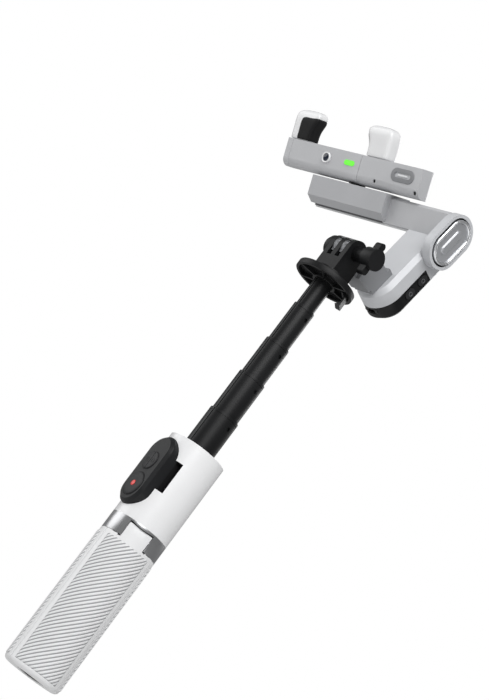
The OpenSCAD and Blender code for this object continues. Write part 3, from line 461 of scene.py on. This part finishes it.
def makeRemoteKeys():
    r = remoteSettings
    place = remoteFrame @ Matrix.Translation((0, -r["face"] * mm, r["shutterAt"] * mm)) @ faceFront
    rad = r["shutterRadius"]
    bm = keyForm(rad, r["shutterCorner"], r["shutterCrown"])
    keepTurned(bm, "shutterCap", "shutter_key", "charcoalSoft", place, ["shutter_button"])
    dot = [r["dotFoot"]] + arc(*r["dotCorner"], 0, 80, 4) + r["dotTop"]
    keepTurned(turnedForm(dot, 0, 32), "recordDot", "shutter_key", "dotRed", place)
    keepGrooveShade("shutterGrooveShade", rad, place)
    rad = r["splitRadius"]
    place = remoteFrame @ Matrix.Translation((0, -r["face"] * mm, r["splitAt"] * mm)) @ faceFront
    for side, hand, stretch, around in ((-1, "left", r["barMark"], 4), (1, "right", 0.0, 28)):
        body = hand + "_key"
        bm = keyForm(rad, r["splitCorner"], r["splitCrown"])
        geom = bm.verts[:] + bm.edges[:] + bm.faces[:]
        cut = (side * r["splitHalfGap"], 0, 0)
        bmesh.ops.bisect_plane(bm, geom=geom, plane_co=cut, plane_no=(-side, 0, 0), clear_outer=True)
        bmesh.ops.holes_fill(bm, edges=bm.edges, sides=0)
        bmesh.ops.recalc_face_normals(bm, faces=bm.faces)
        keepTurned(bm, "keyHalf" + hand, body, "charcoalSoft", place, [hand + "_button"])
        spot = place @ Matrix.Translation((side * r["markAt"] * mm, 0, 0))
        mark = boxRing(r["markInner"], r["markOuter"], r["markLow"], r["markHigh"])
        bm = turnedForm(mark, stretch, around, fill=False)
        keepTurned(bm, "keyMark" + hand, body, "mountBlack", spot)
    keepGrooveShade("splitGrooveShade", rad, place)


makeRemoteKeys()


# black sheet set into the finger notch beside the remote, painted shade for the recess, in mm in the remote's
# frame
notchSettings = {
    "left": 9.1, "right": 13.35, "back": -8.45, "deep": 8, "low": 110.55, "high": 128.45,
    "wall": 0.3, "seatDeep": 2.8,
    "trimAt": -13.4, "trimFacing": (0.68, -0.733, 0),  # keeps it inside the handle's round wall
}


def makeNotchShadeSheet():
    n = notchSettings
    tall, height = n["high"] - n["low"], (n["high"] + n["low"]) / 2
    bm = bmesh.new()
    bmesh.ops.create_cube(bm, size=1)
    bmesh.ops.scale(bm, verts=bm.verts, vec=(n["right"] - n["left"], n["deep"], tall))
    centre = ((n["right"] + n["left"]) / 2, n["back"] - n["deep"] / 2, height)
    bmesh.ops.translate(bm, verts=bm.verts, vec=centre)
    gone = [f for f in bm.faces if f.normal.y < -0.9 or f.normal.x < -0.9]  # open at the front and left
    bmesh.ops.delete(bm, geom=gone, context="FACES")
    geom = bm.verts[:] + bm.edges[:] + bm.faces[:]
    corner = (n["left"], n["trimAt"], 0)
    bmesh.ops.bisect_plane(bm, geom=geom, plane_co=corner, plane_no=n["trimFacing"], clear_outer=True)
    # the wall behind the remote, which faces the notch; painted shade like the rest of the sheet
    seat = bmesh.ops.create_grid(bm, x_segments=1, y_segments=1, size=0.5)["verts"]
    quarter = Matrix.Rotation(math.radians(90), 3, "Y")
    bmesh.ops.rotate(bm, verts=seat, cent=(0, 0, 0), matrix=quarter)
    bmesh.ops.scale(bm, verts=seat, vec=(1, n["seatDeep"], tall))
    centre = (n["left"] + n["wall"], n["back"] - n["seatDeep"] / 2, height)
    bmesh.ops.translate(bm, verts=seat, vec=centre)
    bmesh.ops.scale(bm, verts=bm.verts, vec=(mm, mm, mm))
    bmesh.ops.transform(bm, matrix=remoteFrame, verts=bm.verts)
    shadeSheet = keepMesh(bm, "notchShadeSheet", "handle", ["padAndShadeBlack"], smooth=False)
    wall = shadeSheet.modifiers.new("wall", "SOLIDIFY")
    wall.thickness, wall.offset = n["wall"] * mm, -1


makeNotchShadeSheet()
print("stage: remote")


# jaws, in mm in the head's frame; each level is (height, mouth side, outer side, front, back)
jawSettings = {
    "foot": 30.0, "front": -10.6, "rightEdge": -58.5, "leftEdge": -106.9,
    "around": 64, "corner": 7,  # a higher corner is squarer
    "levels": [
        (0.05, 0.2, 16.4, 0.2, 9.4), (0.5, 0.0, 16.6, 0.0, 9.6), (4, 0.3, 16.6, 0.0, 9.6),
        (8, -0.3, 16.6, -0.1, 9.6), (11, -1.6, 16.6, -0.2, 9.6), (13.6, -3.0, 16.5, -0.3, 9.5),
        (15.4, -3.4, 16.0, -0.2, 9.3), (17.0, -2.7, 14.8, 0.4, 8.8), (18.0, -1.2, 12.8, 1.4, 8.0),
        (18.5, 1.2, 10.2, 2.8, 6.8), (18.6, 4.8, 6.4, 4.4, 5.2),
    ],
    # the right pad lies in the mouth only, the left one also wraps round the jaw's front
    "padLevels": 8, "padTall": (0.86, 0.3), "padProud": 0.35, "padDeep": 3, "padInset": 1.2,
    "wrapTall": (0.85, 0.25), "wrapProud": 0.3, "wrapShort": 5.4, "wrapFront": 0.35, "wrapBack": 0.6,
}


def clawForm(levels):
    around, corner = jawSettings["around"], jawSettings["corner"]
    bm = bmesh.new()
    last = len(levels) - 1
    bmesh.ops.create_grid(bm, x_segments=around, y_segments=last, size=0.5)
    for v in bm.verts:
        turn = (v.co.x + 0.5) * 2 * math.pi
        height, inner, outer, front, back = levels[round((v.co.y + 0.5) * last)]
        c, s = math.cos(turn), math.sin(turn)
        grow = (abs(c) ** corner + abs(s) ** corner) ** (-1 / corner)
        across = (inner + outer) / 2 + (outer - inner) / 2 * c * grow
        deep = (front + back) / 2 + (back - front) / 2 * s * grow
        v.co = (across, deep, height)
    bmesh.ops.remove_doubles(bm, verts=bm.verts, dist=0.001)
    bmesh.ops.holes_fill(bm, edges=bm.edges, sides=0)
    return bm


def keepClaw(bm, name, body, shade, mouthEdge, facing, replaced=()):
    j = jawSettings
    bmesh.ops.scale(bm, verts=bm.verts, vec=(facing, 1, 1))
    bmesh.ops.translate(bm, verts=bm.verts, vec=(mouthEdge, j["front"], j["foot"]))
    bmesh.ops.scale(bm, verts=bm.verts, vec=(mm, mm, mm))
    bmesh.ops.recalc_face_normals(bm, faces=bm.faces)
    bmesh.ops.transform(bm, matrix=headFrame, verts=bm.verts)
    piece = keepMesh(bm, name, body, [shade], replaced=replaced)
    addSubdivision(piece, 1)
    return piece


def makeJaws():
    j = jawSettings
    levels, right, left = j["levels"], j["rightEdge"], j["leftEdge"]
    keepClaw(clawForm(levels), "rightClaw", "slider", "whiteGloss", right, 1, ["right_jaw"])
    grow, lift = j["padTall"]
    inset = j["padInset"]
    pad = [(h * grow + lift, i - j["padProud"], min(o, j["padDeep"]), max(f + inset, inset), b - inset)
           for h, i, o, f, b in levels[:j["padLevels"]]]
    keepClaw(clawForm(pad), "rightClawPad", "slider", "padAndShadeBlack", right, 1, ["right_pad"])
    keepClaw(clawForm(levels), "leftClaw", "holder", "whiteGloss", left, -1, ["left_jaw"])
    grow, lift = j["wrapTall"]
    wrap = [(h * grow + lift, i - j["wrapProud"], o - j["wrapShort"], f - j["wrapFront"], b - j["wrapBack"])
            for h, i, o, f, b in levels]
    keepClaw(clawForm(wrap), "leftClawPad", "holder", "padAndShadeBlack", left, -1, ["left_pad"])


makeJaws()
print("stage: jaws")


# charging port cover on the slider, in mm in the head's frame: a grey rim, a bright bar and a floor;
# each section is (radius, height over the front)
portSettings = {
    "x": -24.5, "z": 23.6, "half": 8.9, "round": 3.9, "front": -11.15, "under": -0.8,
    "rimTop": [(0, 0.1), (-0.15, 0.25), (-0.45, 0.3)],  # the first number is from the outer edge
    "rimMouth": [(1.5, 0.3), (1.3, 0.12)],
    "barLong": 6.4, "barFoot": (0.62, -0.6), "barCorner": (0.35, -0.05, 0.27), "barTop": (0.02, 0.22),
    "floor": [(1.35, -0.75), (1.35, -0.35), (0.02, -0.35)],
}


def makePortCover():
    p = portSettings
    middle = Matrix.Translation((p["x"] * mm, p["front"] * mm, p["z"] * mm))
    place = headFrame @ middle @ faceFront @ Matrix.Rotation(math.radians(90), 4, "Z")
    stretch = 2 * (p["half"] - p["round"])
    out = p["round"]
    rim = [(out, p["under"])] + [(out + step, height) for step, height in p["rimTop"]]
    rim += p["rimMouth"] + [(p["rimMouth"][-1][0], p["under"]), (out, p["under"])]
    bm = turnedForm(rim, stretch, 72, fill=False)
    keepTurned(bm, "portCoverRim", "slider", "coverGrey", place, ["port_cover"])
    bar = [p["barFoot"]] + arc(*p["barCorner"], 0, 90, 4) + [p["barTop"]]
    keepTurned(turnedForm(bar, p["barLong"], 24), "portCoverBar", "slider", "stripPale", place)
    keepTurned(turnedForm(p["floor"], stretch, 48), "portCoverFloor", "slider", "silverGrey", place)


makePortCover()


# small eye on the bar: white bezel and a dark domed glass; dome is (share of its radius, height)
eyeSettings = {
    "x": -87.5, "z": 23.616, "front": -11, "bezel": 3.25, "glass": 2.35,
    "bezelFoot": -1.2, "bezelSide": 0.6, "bezelCorner": (0.3, 0.8), "lip": (0.1, 0.85),
    "slack": 0.02, "glassFoot": -1.1, "glassSide": 0.55,
    "dome": [(0.8, 0.72), (0.5, 0.84), (0.25, 0.88)], "domeTop": (0.02, 0.9),
}


def makeEye():
    e = eyeSettings
    place = headFrame @ Matrix.Translation((e["x"] * mm, e["front"] * mm, e["z"] * mm)) @ faceFront
    b, g = e["bezel"], e["glass"]
    corner, height = e["bezelCorner"]
    lip, lipTop = e["lip"]
    ring = [(b, e["bezelFoot"]), (b, e["bezelSide"])] + arc(b - corner, height, corner, 0, 100, 4)
    ring += [(g + lip, lipTop), (g, e["bezelSide"]), (g, e["bezelFoot"]), (b, e["bezelFoot"])]
    bm = turnedForm(ring, 0, 56, fill=False)
    keepTurned(bm, "eyeBezel", "holder", "whiteGloss", place, ["lens_bezel"])
    side = g - e["slack"]
    dome = [(side, e["glassFoot"]), (side, e["glassSide"])] + [(g * share, h) for share, h in e["dome"]]
    bm = turnedForm(dome + [e["domeTop"]], 0, 48)
    keepTurned(bm, "eyeGlass", "holder", "lensDark", place, ["lens"], sharp=60)


makeEye()
print("stage: port cover and eye")


# raised rings on the two side keys of the base, in mm in the base's frame
sideKeySettings = {
    "face": 13.0, "across": 9.0, "places": {"base_key_a": -30, "base_key_b": -41},
    "radius": 1.15, "wire": 0.22, "under": -0.2, "rise": 0.02,
}


def makeSideKeyRings():
    k = sideKeySettings
    outer, inner = k["radius"] + k["wire"], k["radius"] - k["wire"]
    for body, height in k["places"].items():
        middle = Matrix.Translation((k["face"] * mm, k["across"] * mm, height * mm))
        ring = [(outer, k["under"])] + arc(k["radius"], k["rise"], k["wire"], 0, 180, 8)
        ring += [(inner, k["under"]), (outer, k["under"])]
        bm = turnedForm(ring, 0, 36, fill=False)
        keepTurned(bm, "keyRing" + body[-1].upper(), body, "darkMarkAndShade", baseFrame @ middle @ faceRight)


makeSideKeyRings()


floorSettings = {"half": 4, "tint": (0.9, 0.9, 0.9), "shift": 0.01, "rough": (0.8, 0.9), "grain": 40}


def makeFloor():
    f = floorSettings
    bm = bmesh.new()
    bmesh.ops.create_grid(bm, x_segments=1, y_segments=1, size=f["half"])
    bmesh.ops.translate(bm, verts=bm.verts, vec=(0, 0, -viewSettings["floorDrop"]))
    mesh = bpy.data.meshes.new("studioFloor")
    bm.to_mesh(mesh)
    bm.free()
    floor = bpy.data.objects.new("studioFloor", mesh)
    bpy.context.scene.collection.objects.link(floor)
    mesh.materials.append(makeFinish("floorPale", f["tint"], f["shift"], f["rough"], f["grain"], 0))


makeFloor()
print("stage: floor")
